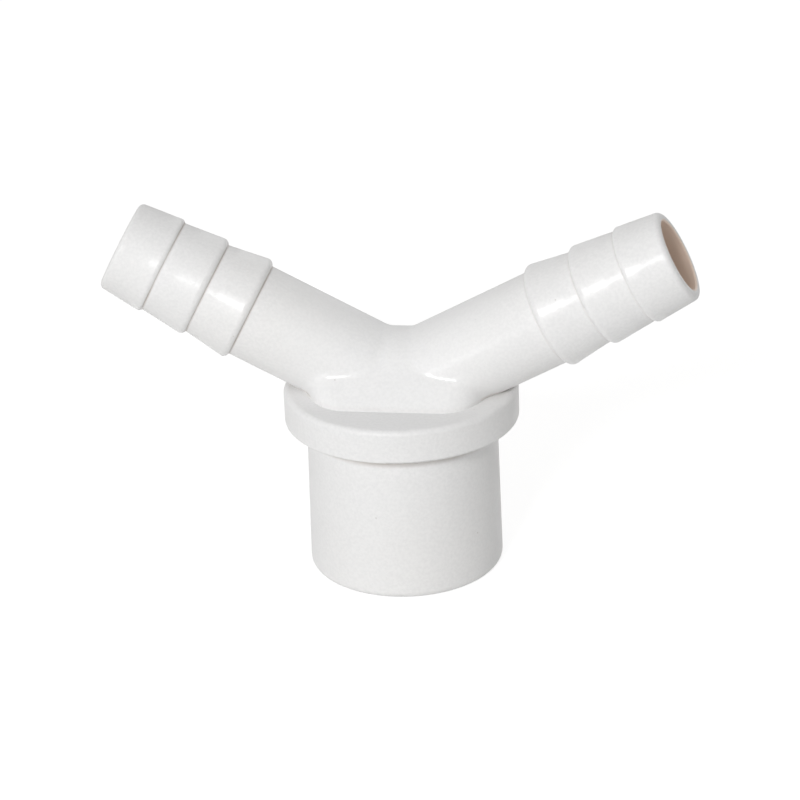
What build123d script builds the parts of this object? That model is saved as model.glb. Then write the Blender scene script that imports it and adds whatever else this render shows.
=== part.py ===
"""Tubing Y connector: one moulded piece, millimetres, +Z up.

A pipe spigot stands on its mouth at Z = 0, and a flange closes its top. On the flange a gabled hub
carries two barbed hose arms, which rise to the left (-X) and to the right (+X). The origin is the
middle of the mouth.
"""
import os
from math import acos, atan2, cos, radians, sin

from build123d import *

# Spigot: a pipe goes up into its socket as far as the stop. It is a little slimmer at its neck.
pipe_diameter = 20.0
pipe_clearance = 0.1
socket_depth = 16.0
socket_lead_in = 0.6
stop_width = 3.1
mouth_wall = 2.4
mouth_edge_radius = 1.0
neck_taper = 0.3
spigot_length = 20.2

# Flange between the spigot and the hub.
flange_overhang = 2.5
flange_thickness = 4.4
flange_top_radius = 0.7
flange_underside_radius = 0.3

# Arms: a short level run joins them in the middle of the V, a little above the flange.
run_length = 6.0
run_rise = 1.2
arm_angle = 27.75
tube_diameter = 12.4
tube_wall = 1.55
plain_tube_length = 18.0

# Barbs, counted from the hub: each crest is lower than the last, so that the hose starts easily.
barb_count = 3
barb_pitch = 6.15
barb_shoulder = 0.3
barb_height = 0.75
barb_step_down = 0.24
barb_root_depth = 0.1
barb_crest_radius = 0.8
tip_depth = 0.3
tip_edge_radius = 0.7
tip_lead_in = 0.2

# Hub: a gable that leans in from the flange to the run, with its two ends cut round. The corners
# are rounded by a share of the gable's depth where it meets the run.
hub_inset = 2.9
hub_base_depth = 18.4
hub_corner_share = 0.65
crease_radius = 2.0

# Sizes and places worked out from those above.
socket_radius = pipe_diameter / 2 + pipe_clearance
passage_radius = socket_radius - stop_width
mouth_radius = socket_radius + mouth_wall
flange_radius = mouth_radius + flange_overhang
flange_top = spigot_length + flange_thickness
tube_radius = tube_diameter / 2
bore_radius = tube_radius - tube_wall
arm_length = plain_tube_length + barb_pitch * barb_count
run_height = flange_top + run_rise
bend = Vector(run_length / 2, 0, run_height)
arm_direction = Vector(cos(radians(arm_angle)), 0, sin(radians(arm_angle)))
arm_axis = Axis(bend, arm_direction)
arm_plane = Plane(origin=bend, x_dir=arm_direction, z_dir=(0, -1, 0))

# The gable's two faces touch the run's tube, so their slope follows from the depth of the hub's base.
foot = Vector(hub_base_depth / 2, -run_rise)
contact_angle = acos(tube_radius / foot.length) - atan2(run_rise, hub_base_depth / 2)
contact_depth = tube_radius * cos(contact_angle)
contact_height = run_height + tube_radius * sin(contact_angle)


def bent_tube(reach, radius, mode):
    """The level run with a mitred arm at each end, out to this reach from the bends."""
    end = bend + arm_direction * reach
    with BuildLine() as path:
        Polyline((-end.X, 0, end.Z), (-bend.X, 0, bend.Z), bend, end)
    with BuildSketch(Plane(origin=path.line @ 0, z_dir=path.line % 0)) as section:
        Circle(radius)
    sweep(section.sketch, path=path.line, transition=Transition.RIGHT, mode=mode)


def rims(part, radius):
    """The circular edges of this radius, lowest first."""
    circles = part.edges().filter_by(GeomType.CIRCLE)
    return circles.filter_by(lambda circle: abs(circle.radius - radius) < 0.001).sort_by(Axis.Z)


with BuildPart() as barbs:
    with BuildSketch(arm_plane):
        with BuildLine():
            outline = [(plain_tube_length, 0), (plain_tube_length, tube_radius)]
            for number in range(barb_count):
                root = plain_tube_length + barb_pitch * number
                crest_radius = tube_radius + barb_height - barb_step_down * number
                outline.append((root + barb_shoulder, crest_radius))
                outline.append((root + barb_pitch, tube_radius - barb_root_depth))
            outline[-1] = (arm_length, tube_radius - tip_depth)
            outline.append((arm_length, 0))
            Polyline(*outline, close=True)
        make_face()
    revolve(axis=arm_axis)
    # Each crest is rounded as far as its step allows.
    for number in range(barb_count):
        crest_height = barb_height - barb_step_down * number
        crest = rims(barbs, tube_radius + crest_height)
        fillet(crest, min(barb_crest_radius, 2 * crest_height))
    fillet(rims(barbs, tube_radius - tip_depth), tip_edge_radius)
    mirror(about=Plane.YZ)

with BuildPart() as hub:
    with BuildSketch(Plane.YZ):
        with BuildLine():
            Polyline(
                (-hub_base_depth / 2, flange_top),
                (-contact_depth, contact_height),
                (contact_depth, contact_height),
                (hub_base_depth / 2, flange_top),
                close=True,
            )
        make_face()
    extrude(amount=flange_radius, both=True)
    with BuildSketch(Plane.XY.offset(flange_top)):
        Circle(flange_radius - hub_inset)
    extrude(amount=contact_height - flange_top, mode=Mode.INTERSECT)
    fillet(hub.edges().filter_by(GeomType.ELLIPSE), hub_corner_share * contact_depth)

with BuildPart() as y_connector:
    # Spigot and flange, turned about Z.
    with BuildSketch(Plane.XZ):
        with BuildLine():
            Polyline(
                (0, 0),
                (mouth_radius, 0),
                (mouth_radius - neck_taper, spigot_length),
                (flange_radius, spigot_length),
                (flange_radius, flange_top),
                (0, flange_top),
                close=True,
            )
        make_face()
    revolve(axis=Axis.Z)
    fillet(rims(y_connector, mouth_radius), mouth_edge_radius)
    fillet(rims(y_connector, flange_radius)[0], flange_underside_radius)
    fillet(rims(y_connector, flange_radius)[-1], flange_top_radius)

    # Hub and arms: the mitres and the creases beside the gable are rounded as one chain.
    add(hub.part)
    bent_tube(plain_tube_length, tube_radius, Mode.ADD)
    seams = y_connector.edges(Select.NEW).filter_by(GeomType.ELLIPSE)
    fillet(seams.filter_by_position(Axis.Z, run_height, run_height + tube_diameter), crease_radius)
    add(barbs.part)

    # Waterway: the arms' bores meet over a passage, which opens into the socket at its stop.
    bent_tube(arm_length, bore_radius, Mode.SUBTRACT)
    with BuildSketch():
        Circle(passage_radius)
    extrude(amount=flange_top, mode=Mode.SUBTRACT)
    with BuildSketch():
        Circle(socket_radius)
    extrude(amount=socket_depth, mode=Mode.SUBTRACT)
    chamfer(rims(y_connector, socket_radius)[0], socket_lead_in)
    chamfer(rims(y_connector, bore_radius), tip_lead_in)

y_connector.part.label = "y_connector"
os.makedirs("parts", exist_ok=True)
export_step(y_connector.part, "parts/y_connector.step")
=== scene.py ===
import math

import bpy
import numpy as np
from mathutils import Matrix, Vector

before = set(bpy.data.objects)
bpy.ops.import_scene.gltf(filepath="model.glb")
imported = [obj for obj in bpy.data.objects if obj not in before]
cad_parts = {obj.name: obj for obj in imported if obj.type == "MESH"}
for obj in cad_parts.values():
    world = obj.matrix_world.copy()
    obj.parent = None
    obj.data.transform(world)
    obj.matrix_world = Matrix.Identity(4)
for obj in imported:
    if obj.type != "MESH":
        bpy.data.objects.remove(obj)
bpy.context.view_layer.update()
scene = bpy.context.scene
scene.view_settings.view_transform = "Standard"
print("frame loaded:", sorted(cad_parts))


# Small helpers: directions in space, and nodes that take either a socket or a plain value.
def towards(azimuth, elevation):
    # unit vector: azimuth in degrees to the right of -Y, elevation in degrees above the floor
    azimuth = math.radians(azimuth)
    elevation = math.radians(elevation)
    return Vector((
        math.sin(azimuth) * math.cos(elevation),
        -math.cos(azimuth) * math.cos(elevation),
        math.sin(elevation),
    ))


def addNode(tree, kind, **values):
    made = tree.nodes.new(kind)
    for name, value in values.items():
        setattr(made, name, value)
    return made


def feed(tree, socket, value):
    # a socket is linked and a plain value is written in
    if isinstance(value, bpy.types.NodeSocket):
        tree.links.new(value, socket)
    else:
        socket.default_value = value


def mathOf(tree, operation, first, second=0.0):
    made = addNode(tree, "ShaderNodeMath", operation=operation)
    feed(tree, made.inputs[0], first)
    feed(tree, made.inputs[1], second)
    return made.outputs[0]


def times(tree, first, *others):
    # the product of all the values
    for other in others:
        first = mathOf(tree, "MULTIPLY", first, other)
    return first


def most(tree, first, *others):
    # the largest of all the values
    for other in others:
        first = mathOf(tree, "MAXIMUM", first, other)
    return first


def mixShaders(tree, share, under, over):
    made = addNode(tree, "ShaderNodeMixShader")
    for socket, value in zip(made.inputs, (share, under, over)):
        tree.links.new(value, socket)
    return made.outputs[0]


# Camera: above the front and a little to the right of the connector, with a long lens.
cameraSet = {
    "azimuth": 8.82,
    "elevation": 24.29,
    "roll": 2.17,  # degrees, turns the picture anticlockwise
    "distance": 0.38257,  # metres from the middle of the mouth
    "slide": (-0.00097, 0.02018),  # metres across and up the picture
    "lens": 131.62,  # millimetres, on a sensor 36 wide
    "sensor": 36.0,
    "nearest": 0.01,  # metres, nothing closer is drawn
}


def makeCamera():
    azimuth = math.radians(cameraSet["azimuth"])
    roll = math.radians(cameraSet["roll"])
    across = Vector((math.cos(azimuth), math.sin(azimuth), 0))
    back = towards(cameraSet["azimuth"], cameraSet["elevation"])
    up = back.cross(across)
    right = across * math.cos(roll) - up * math.sin(roll)
    top = across * math.sin(roll) + up * math.cos(roll)
    slide = cameraSet["slide"]
    place = right * slide[0] + top * slide[1] + back * cameraSet["distance"]
    data = bpy.data.cameras.new("camera")
    data.lens = cameraSet["lens"]
    data.sensor_width = cameraSet["sensor"]
    data.clip_start = cameraSet["nearest"]
    camera = bpy.data.objects.new("camera", data)
    scene.collection.objects.link(camera)
    turn = Matrix((right, top, back)).transposed()
    camera.matrix_world = Matrix.Translation(place) @ turn.to_4x4()
    scene.camera = camera


makeCamera()
print("camera placed")

# Light: a soft key from the front left, a low strip beside it, weak lamps above and behind, and
# an even fill from the world. Lamps are sized in metres and powered in watts.
lightSet = {
    "lamps": {
        "key": {"azimuth": -13, "elevation": 28, "size": (0.27, 0.27), "power": 6.2},
        "left": {"azimuth": -30, "elevation": 7, "size": (0.7, 0.22), "power": 1.3},
        "top": {"azimuth": -10, "elevation": 80, "size": (1.2, 1.2), "power": 1.0},
        "back": {"azimuth": 160, "elevation": 32, "size": (1.0, 1.0), "power": 1.75},
    },
    "aim": (0, 0, 0.025),  # all lamps point here
    "distance": 1.2,  # metres from there
    "lampColour": (1.0, 1.0, 1.0),
    "fillStrength": 0.355,
    "fillColour": (1.0, 0.992, 0.980),
    "backdropStrength": 1.0,  # pure white
    "backdropColour": (1.0, 1.0, 1.0),
}


def makeLamp(name, values):
    direction = towards(values["azimuth"], values["elevation"])
    data = bpy.data.lights.new(name, "AREA")
    data.shape = "RECTANGLE"
    data.size, data.size_y = values["size"]
    data.energy = values["power"]
    data.color = lightSet["lampColour"]
    lamp = bpy.data.objects.new(name, data)
    scene.collection.objects.link(lamp)
    lamp.location = Vector(lightSet["aim"]) + direction * lightSet["distance"]
    lamp.rotation_euler = direction.to_track_quat("Z", "Y").to_euler()


def seenDirectly(tree):
    # 1 for rays that show the background: camera, glossy and transmission rays
    path = addNode(tree, "ShaderNodeLightPath").outputs
    return most(tree, path["Is Camera Ray"], path["Is Glossy Ray"], path["Is Transmission Ray"])


def backgroundOf(tree, colour, strength):
    made = addNode(tree, "ShaderNodeBackground")
    made.inputs["Color"].default_value = (*colour, 1)
    made.inputs["Strength"].default_value = strength
    return made.outputs[0]


def makeWorld():
    world = bpy.data.worlds.new("studio")
    scene.world = world
    world.use_nodes = True
    tree = world.node_tree
    tree.nodes.clear()
    fill = backgroundOf(tree, lightSet["fillColour"], lightSet["fillStrength"])
    white = backgroundOf(tree, lightSet["backdropColour"], lightSet["backdropStrength"])
    out = addNode(tree, "ShaderNodeOutputWorld")
    tree.links.new(mixShaders(tree, seenDirectly(tree), fill, white), out.inputs["Surface"])


for lampName, lampValues in lightSet["lamps"].items():
    makeLamp(lampName, lampValues)
makeWorld()
print("lights and world ready")

# Floor: a wide level sheet that the mouth stands on.
floorSet = {
    "halfWidth": 3.0,
    "cells": 12,  # along each side
    "colour": (0.80, 0.80, 0.795),  # towards the connector
    "shadowColour": (0.42, 0.42, 0.418),  # towards the camera, sets how much shadow shows
    "glow": 0.79,  # towards the camera, brings the lit floor up to white
}


def diffuseOf(tree, colour):
    made = addNode(tree, "ShaderNodeBsdfDiffuse")
    made.inputs["Color"].default_value = (*colour, 1)
    return made.outputs[0]


def makePaper():
    material = bpy.data.materials.new("floorPaper")
    material.use_nodes = True
    tree = material.node_tree
    tree.nodes.clear()
    plain = diffuseOf(tree, floorSet["colour"])
    shown = diffuseOf(tree, floorSet["shadowColour"])
    glow = addNode(tree, "ShaderNodeEmission")
    glow.inputs["Strength"].default_value = floorSet["glow"]
    both = addNode(tree, "ShaderNodeAddShader")
    tree.links.new(shown, both.inputs[0])
    tree.links.new(glow.outputs[0], both.inputs[1])
    out = addNode(tree, "ShaderNodeOutputMaterial")
    mixed = mixShaders(tree, seenDirectly(tree), plain, both.outputs[0])
    tree.links.new(mixed, out.inputs["Surface"])
    return material


def makeFloor():
    # x and y run evenly over the square and z is 0
    half = floorSet["halfWidth"]
    steps = np.linspace(-half, half, floorSet["cells"] + 1)
    x, y = np.meshgrid(steps, steps, indexing="ij")
    points = np.stack([x, y, np.zeros_like(x)], axis=-1).reshape(-1, 3)
    index = np.arange(points.shape[0]).reshape(x.shape)
    corners = [index[:-1, :-1], index[1:, :-1], index[1:, 1:], index[:-1, 1:]]
    quads = np.stack(corners, axis=-1).reshape(-1, 4)
    mesh = bpy.data.meshes.new("floor")
    mesh.from_pydata(points.tolist(), [], quads.tolist())
    mesh.materials.append(makePaper())
    floor = bpy.data.objects.new("floor", mesh)
    scene.collection.objects.link(floor)


makeFloor()
print("floor laid")

# Plastic: white PVC, moulded in one shot. Lengths are in metres. Where a pair says where a mask
# fades, the mask is 0 at the first value and 1 at the second.
plasticSet = {
    # colours
    "colour": (0.888, 0.888, 0.890),
    "creamColour": (0.872, 0.867, 0.861),  # slow drifts of tint
    "paintedShadeColour": (0.560, 0.510, 0.470),  # painted shade in the sharp inner corners: the barbs' roots, the hub's foot and under the flange
    "boreShadeColour": (0.890, 0.735, 0.625),  # painted warm shade inside the two arms
    # painted shade inside the socket
    "socketShadeColour": (0.800, 0.780, 0.740),
    "speckColour": (0.360, 0.310, 0.270),
    # patterns: scale in cells a metre, detail and roughness of the noise
    "cloud": (45, 2, 0.4),
    "wave": (230, 1, 0.5),
    "grain": (2600, 2, 0.5),
    "noiseRange": (0.25, 0.75),  # the part of the noise's range that is used
    "driftMix": (0.8, 0.2),  # shares of cloud and grain in the drifts of tint
    "grainShade": (0.955, 1.020),  # darkest and lightest of the mottling
    "speckScale": 400,
    "speckShare": 0.25,  # share of the cells that hold a speck
    "speckRadius": 0.042,  # in cells
    "speckFade": (1.4, 0.7),  # in radii
    "speckStrength": 0.3,
    # gloss
    "ior": 1.5,
    "roughness": 0.58,
    "barbRoughness": 0.38,
    "boreRoughness": 0.5,  # of the painted shade too
    "roughnessDrift": 0.05,
    "coat": (0.15, 0.52),  # weight of the sharp gloss, least and most
    "coatRoughness": 0.11,
    "coatCloud": (0.75, 1.15),  # how the weight varies with the cloud
    "coatGrain": (0.5, 1.4),  # and with the grain
    "wornCoat": 0.15,  # how far the barbs are towards the most
    "rimWear": 0.2,  # the flange's rim, against the barbs
    # relief
    "waveHeight": 0.000014,
    "grainHeight": 0.000006,
    "lineHeight": 0.0000032,  # turned lines round the arms
    "linePitch": 0.00048,
    "lineBreak": 5.0,  # radians, how far the grain shifts the lines
    # arms
    "armAngle": 27.75,  # degrees above level
    "bend": (0.003, 0, 0.0258),
    "boreRadius": 0.00465,
    "boreFade": (0.00035, 0.00005),  # outside the bore's radius
    "boreStart": (-0.004, -0.002),  # along the arm from the bend
    "barbRadius": 0.00627,  # all that stands out past it is barb
    "barbRoots": (0.0180, 0.02415, 0.0303),  # along the arm from the bend
    "barbFade": 0.0001,
    "rootWidth": 0.00022,
    "rootFade": (0.0057, 0.0059),  # from the arm's axis
    "rootSides": (-0.01, 0.01),  # where the left arm's painted shade turns into the right arm's
    "rootPaintedShade": (0.9, 0.25),  # strength of the painted shade on the left arm, whose roots face away from the key light, and on the right one
    # socket
    "socketRadius": 0.0101,
    "socketFade": (0.0008, 0.0003),  # outside its radius
    "socketTop": 0.0200,
    "socketTopFade": 0.001,
    # flange
    "flangeTop": 0.0246,
    "flangeUnder": 0.0202,
    "flangeRadius": 0.0150,
    "spigotRadius": 0.0122,
    "rimFade": (0.0008, 0.0001),  # inside the flange's radius
    "rimEnd": (0.014, 0.012),  # along the arm from the bend, keeps it off the arms
    "cornerStart": (0.00003, 0.0001),  # painted shade above the flange's top
    "cornerEnd": (0.0007, 0.0001),
    "cornerReach": (0.0095, 0.0120),  # across the part, where an arm passes over the flange
    "cornerPaintedShade": (0.15, 0.8),  # strength of the painted shade on the hub's front and under the arms
    "underStart": (0.0021, 0.0011),  # painted shadow below the flange's underside
    "underEnd": 0.0003,
    "underOutside": (0.0006, 0.0002),  # outside the spigot's radius
    "underInside": (0.0116, 0.0119),  # from the middle, keeps it out of the socket
    # strength of the painted shadow under the flange
    "underPaintedShadow": 0.85,
    "paintedShadePatches": (0.5, 1.0),  # how all painted shade varies with the wave
    # how far the painted shade turns to the bores' roughness
    "paintedShadeDullness": 0.8,
    # hub
    "hubReach": (0.0165, 0.0100),  # across the part
    "hubStart": 0.0010,  # above the flange's top
}


def mapRange(tree, value, source, target, kind="LINEAR"):
    # the source pair becomes the target pair
    made = addNode(tree, "ShaderNodeMapRange", interpolation_type=kind)
    feed(tree, made.inputs["Value"], value)
    made.inputs["From Min"].default_value, made.inputs["From Max"].default_value = source
    made.inputs["To Min"].default_value, made.inputs["To Max"].default_value = target
    return made.outputs["Result"]


def softStep(tree, value, zeroAt, oneAt):
    # 0 on one side and 1 on the other, with soft ends, whichever of the two is the larger
    if zeroAt > oneAt:
        return mapRange(tree, value, (oneAt, zeroAt), (1.0, 0.0), "SMOOTHSTEP")
    return mapRange(tree, value, (zeroAt, oneAt), (0.0, 1.0), "SMOOTHSTEP")


def spread(tree, value, low, high):
    # the used part of the noise's range becomes low to high, with soft ends
    return mapRange(tree, value, plasticSet["noiseRange"], (low, high), "SMOOTHSTEP")


def noiseOf(tree, vector, scale, detail, roughness):
    made = addNode(tree, "ShaderNodeTexNoise")
    made.inputs["Scale"].default_value = scale
    made.inputs["Detail"].default_value = detail
    made.inputs["Roughness"].default_value = roughness
    tree.links.new(vector, made.inputs["Vector"])
    return made.outputs["Fac"]


def splitOf(tree, vector):
    made = addNode(tree, "ShaderNodeSeparateXYZ")
    tree.links.new(vector, made.inputs[0])
    return made.outputs


def blend(tree, share, under, over):
    made = addNode(tree, "ShaderNodeMix")
    feed(tree, made.inputs[0], share)
    feed(tree, made.inputs[2], under)
    feed(tree, made.inputs[3], over)
    return made.outputs[0]


def tint(tree, share, colour, name):
    # the colour that plasticSet names is laid over the one so far
    made = addNode(tree, "ShaderNodeMix", data_type="RGBA")
    under, over = [socket for socket in made.inputs if socket.type == "RGBA"]
    feed(tree, made.inputs[0], share)
    feed(tree, under, colour)
    over.default_value = (*plasticSet[name], 1)
    return [socket for socket in made.outputs if socket.type == "RGBA"][0]


def bumpOf(tree, height, distance, normal=None):
    made = addNode(tree, "ShaderNodeBump")
    made.inputs["Distance"].default_value = distance
    tree.links.new(height, made.inputs["Height"])
    if normal is not None:
        tree.links.new(normal, made.inputs["Normal"])
    return made.outputs["Normal"]


def armPlace(tree, place):
    # both arms folded onto one: x runs along the arm from its bend, y and z run across it
    fold = addNode(tree, "ShaderNodeVectorMath", operation="ABSOLUTE")
    tree.links.new(place, fold.inputs[0])
    turn = addNode(tree, "ShaderNodeMapping", vector_type="TEXTURE")
    turn.inputs["Location"].default_value = plasticSet["bend"]
    turn.inputs["Rotation"].default_value = (0, -math.radians(plasticSet["armAngle"]), 0)
    tree.links.new(fold.outputs[0], turn.inputs["Vector"])
    return turn.outputs["Vector"]


def lengthAcross(tree, place, mask):
    # distance from the axis that the mask leaves out
    flat = addNode(tree, "ShaderNodeVectorMath", operation="MULTIPLY")
    tree.links.new(place, flat.inputs[0])
    flat.inputs[1].default_value = mask
    size = addNode(tree, "ShaderNodeVectorMath", operation="LENGTH")
    tree.links.new(flat.outputs[0], size.inputs[0])
    return size.outputs["Value"]


def measure(tree):
    # every length that the masks below read, from the object's own coordinates
    place = addNode(tree, "ShaderNodeTexCoord").outputs["Object"]
    arm = armPlace(tree, place)
    parts = splitOf(tree, place)
    return {
        "place": place,
        "side": parts["X"],
        "across": mathOf(tree, "ABSOLUTE", parts["X"]),
        "level": parts["Z"],
        "along": splitOf(tree, arm)["X"],
        "fromArm": lengthAcross(tree, arm, (0, 1, 1)),
        "fromMiddle": lengthAcross(tree, place, (1, 1, 0)),
    }


def boreMask(tree, at):
    # 1 on the walls of the arms' bores
    radius = plasticSet["boreRadius"]
    out, full = plasticSet["boreFade"]
    return times(
        tree,
        softStep(tree, at["fromArm"], radius + out, radius + full),
        softStep(tree, at["along"], *plasticSet["boreStart"]),
    )


def socketMask(tree, at):
    # 1 on the walls of the socket
    radius = plasticSet["socketRadius"]
    out, full = plasticSet["socketFade"]
    top = plasticSet["socketTop"]
    return times(
        tree,
        softStep(tree, at["fromMiddle"], radius + out, radius + full),
        softStep(tree, at["level"], top + plasticSet["socketTopFade"], top),
    )


def barbMask(tree, at):
    # 1 on the barbs
    radius = plasticSet["barbRadius"]
    root = plasticSet["barbRoots"][0]
    fade = plasticSet["barbFade"]
    return times(
        tree,
        softStep(tree, at["fromArm"], radius, radius + fade),
        softStep(tree, at["along"], root - fade, root),
    )


def rimMask(tree, at):
    # 1 on the flange's rim
    radius = plasticSet["flangeRadius"]
    out, full = plasticSet["rimFade"]
    return times(
        tree,
        softStep(tree, at["fromMiddle"], radius - out, radius - full),
        softStep(tree, at["along"], *plasticSet["rimEnd"]),
    )


def hubMask(tree, at):
    # 1 on the hub between the arms
    top = plasticSet["flangeTop"]
    return times(
        tree,
        softStep(tree, at["across"], *plasticSet["hubReach"]),
        softStep(tree, at["level"], top, top + plasticSet["hubStart"]),
    )


def rootPaintedShade(tree, at):
    # painted shade: a thin dark line at each barb's root, stronger on the left arm, whose roots
    # face away from the key light
    lines = []
    for root in plasticSet["barbRoots"]:
        away = mathOf(tree, "ABSOLUTE", mathOf(tree, "SUBTRACT", at["along"], root))
        lines.append(softStep(tree, away, plasticSet["rootWidth"], 0.0))
    return times(
        tree,
        most(tree, *lines),
        softStep(tree, at["fromArm"], *plasticSet["rootFade"]),
        mapRange(tree, at["side"], plasticSet["rootSides"], plasticSet["rootPaintedShade"]),
    )


def cornerPaintedShade(tree, at):
    # painted shade: a dark band on the hub just above the flange, strongest in the crevice where
    # an arm passes over
    top = plasticSet["flangeTop"]
    start, full = plasticSet["cornerStart"]
    end, fullEnd = plasticSet["cornerEnd"]
    crossing = softStep(tree, at["across"], *plasticSet["cornerReach"])
    return times(
        tree,
        softStep(tree, at["level"], top + start, top + full),
        softStep(tree, at["level"], top + end, top + fullEnd),
        spread(tree, crossing, *plasticSet["cornerPaintedShade"]),
    )


def underPaintedShadow(tree, at):
    # painted shadow: a dark band on the spigot just below the flange, where the flange's shadow
    # falls
    under = plasticSet["flangeUnder"]
    start, full = plasticSet["underStart"]
    radius = plasticSet["spigotRadius"]
    out, fullOut = plasticSet["underOutside"]
    return times(
        tree,
        softStep(tree, at["level"], under - start, under - full),
        softStep(tree, at["fromMiddle"], radius + out, radius + fullOut),
        softStep(tree, at["level"], under + plasticSet["underEnd"], under),
        softStep(tree, at["fromMiddle"], *plasticSet["underInside"]),
        plasticSet["underPaintedShadow"],
    )


def speckMask(tree, place):
    # a dot at the middle of some of the cells
    cells = addNode(tree, "ShaderNodeTexVoronoi")
    cells.inputs["Scale"].default_value = plasticSet["speckScale"]
    tree.links.new(place, cells.inputs["Vector"])
    split = addNode(tree, "ShaderNodeSeparateColor")
    tree.links.new(cells.outputs["Color"], split.inputs[0])
    radius = plasticSet["speckRadius"]
    out, full = plasticSet["speckFade"]
    return times(
        tree,
        softStep(tree, cells.outputs["Distance"], radius * out, radius * full),
        mathOf(tree, "LESS_THAN", split.outputs[0], plasticSet["speckShare"]),
        plasticSet["speckStrength"],
    )


def makePlastic():
    material = bpy.data.materials.new("whitePlastic")
    material.use_nodes = True
    tree = material.node_tree
    shader = tree.nodes["Principled BSDF"].inputs
    shader["IOR"].default_value = plasticSet["ior"]
    shader["Coat Roughness"].default_value = plasticSet["coatRoughness"]

    at = measure(tree)
    cloud = noiseOf(tree, at["place"], *plasticSet["cloud"])
    wave = noiseOf(tree, at["place"], *plasticSet["wave"])
    grain = noiseOf(tree, at["place"], *plasticSet["grain"])
    bore = boreMask(tree, at)
    # painted shade at the barbs' roots, at the hub's foot and under the flange
    paintedShade = most(tree, rootPaintedShade(tree, at), cornerPaintedShade(tree, at), underPaintedShadow(tree, at))
    worn = most(tree, barbMask(tree, at), times(tree, rimMask(tree, at), plasticSet["rimWear"]))

    cloudShare, grainShare = plasticSet["driftMix"]
    drift = mathOf(tree, "ADD", times(tree, cloud, cloudShare), times(tree, grain, grainShare))
    colour = tint(tree, spread(tree, drift, 0.0, 1.0), (*plasticSet["colour"], 1), "creamColour")
    mottling = addNode(tree, "ShaderNodeHueSaturation")
    feed(tree, mottling.inputs["Value"], spread(tree, grain, *plasticSet["grainShade"]))
    tree.links.new(colour, mottling.inputs["Color"])
    # the painted shade, in patches, darkens the colour
    paintedShadeShare = times(tree, paintedShade, spread(tree, wave, *plasticSet["paintedShadePatches"]))
    colour = tint(tree, paintedShadeShare, mottling.outputs["Color"], "paintedShadeColour")
    colour = tint(tree, speckMask(tree, at["place"]), colour, "speckColour")
    # painted shade inside the socket
    colour = tint(tree, socketMask(tree, at), colour, "socketShadeColour")
    # painted warm shade inside the bores
    colour = tint(tree, bore, colour, "boreShadeColour")
    tree.links.new(colour, shader["Base Color"])

    # the barbs are smoother, and the bores and the painted shade are dull
    sheen = blend(tree, worn, plasticSet["roughness"], plasticSet["barbRoughness"])
    swing = plasticSet["roughnessDrift"]
    sheen = mathOf(tree, "ADD", sheen, spread(tree, wave, -swing, swing))
    dull = most(tree, bore, times(tree, paintedShade, plasticSet["paintedShadeDullness"]))
    sheen = blend(tree, dull, sheen, plasticSet["boreRoughness"])
    tree.links.new(sheen, shader["Roughness"])

    # the sharp gloss is strongest on the hub's rounded edges
    shine = most(tree, times(tree, worn, plasticSet["wornCoat"]), hubMask(tree, at))
    gloss = times(
        tree,
        blend(tree, shine, *plasticSet["coat"]),
        spread(tree, cloud, *plasticSet["coatCloud"]),
        spread(tree, grain, *plasticSet["coatGrain"]),
        mathOf(tree, "SUBTRACT", 1.0, dull),
    )
    tree.links.new(gloss, shader["Coat Weight"])

    # lines: the sine of the distance along the arm, shifted by the grain, where the barbs are
    turns = times(tree, at["along"], math.tau / plasticSet["linePitch"])
    shifted = mathOf(tree, "ADD", turns, times(tree, grain, plasticSet["lineBreak"]))
    lines = times(tree, mathOf(tree, "SINE", shifted), worn, spread(tree, wave, 0.0, 1.0))
    normal = bumpOf(tree, wave, plasticSet["waveHeight"])
    normal = bumpOf(tree, lines, plasticSet["lineHeight"], normal)
    normal = bumpOf(tree, grain, plasticSet["grainHeight"], normal)
    tree.links.new(normal, shader["Normal"])
    tree.links.new(normal, shader["Coat Normal"])
    return material


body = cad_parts["y_connector"]
body.data.materials.clear()
body.data.materials.append(makePlastic())
print("plastic on", body.name, len(body.data.polygons), "faces")
